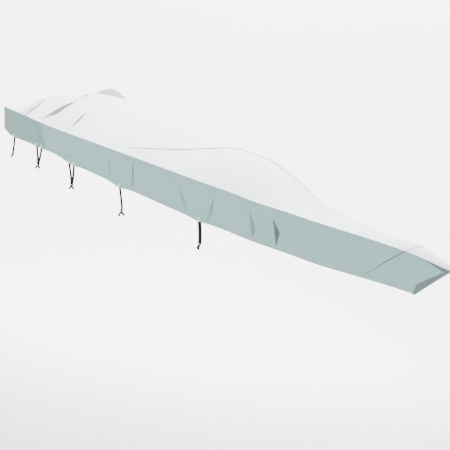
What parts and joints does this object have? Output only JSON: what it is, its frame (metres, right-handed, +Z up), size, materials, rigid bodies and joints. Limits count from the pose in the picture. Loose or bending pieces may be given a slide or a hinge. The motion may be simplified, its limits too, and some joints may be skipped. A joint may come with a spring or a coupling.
{
  "type": "boat cover",
  "caption": "Fitted boat cover in cloth: arched pale top over a grey skirt, pointed bow with a stem band, a vent hood, and cord ties hanging from eyelets.",
  "frame": {"origin": "underside of the top on the centreline, 3.30 m forward of the transom, where a support on the boat carries the cover", "axes": "+X to the bow, +Y to port, +Z up"},
  "size_m": [6.0131, 1.6788, 1.3642],
  "materials": {
    "top_cloth": "matt woven cloth, near white",
    "skirt_cloth": "matt woven cloth, grey green",
    "band_cloth": "matt woven cloth, darker grey green",
    "hood_cloth": "matt woven cloth, light grey",
    "eyelet": "white enamel",
    "cord": "black braided cord"
  },
  "bodies": {
    "root": {"top_panel": "top_cloth", "bow_top": "top_cloth", "skirt_starboard": "skirt_cloth", "skirt_port": "skirt_cloth", "bow_skirt_starboard": "skirt_cloth", "bow_skirt_port": "skirt_cloth", "transom_skirt": "skirt_cloth", "stem_band": "band_cloth", "vent_hood": "hood_cloth", "eyelet_starboard_1a": "eyelet", "tie_leg_starboard_1a": "cord", "tie_knot_starboard_1": "cord", "eyelet_starboard_2a": "eyelet", "eyelet_starboard_2b": "eyelet", "tie_leg_starboard_2a": "cord", "tie_leg_starboard_2b": "cord", "tie_knot_starboard_2": "cord", "eyelet_starboard_3a": "eyelet", "eyelet_starboard_3b": "eyelet", "tie_leg_starboard_3a": "cord", "tie_leg_starboard_3b": "cord", "tie_knot_starboard_3": "cord", "eyelet_starboard_4a": "eyelet", "tie_leg_starboard_4a": "cord", "tie_knot_starboard_4": "cord", "eyelet_starboard_5a": "eyelet", "tie_leg_starboard_5a": "cord", "tie_leg_starboard_5b": "cord", "tie_knot_starboard_5": "cord", "eyelet_port_1a": "eyelet", "tie_leg_port_1a": "cord", "tie_knot_port_1": "cord", "eyelet_port_2a": "eyelet", "eyelet_port_2b": "eyelet", "tie_leg_port_2a": "cord", "tie_leg_port_2b": "cord", "tie_knot_port_2": "cord", "eyelet_port_3a": "eyelet", "eyelet_port_3b": "eyelet", "tie_leg_port_3a": "cord", "tie_leg_port_3b": "cord", "tie_knot_port_3": "cord", "eyelet_port_4a": "eyelet", "tie_leg_port_4a": "cord", "tie_knot_port_4": "cord", "eyelet_port_5a": "eyelet", "tie_leg_port_5a": "cord", "tie_leg_port_5b": "cord", "tie_knot_port_5": "cord"}
  },
  "joints": []
}
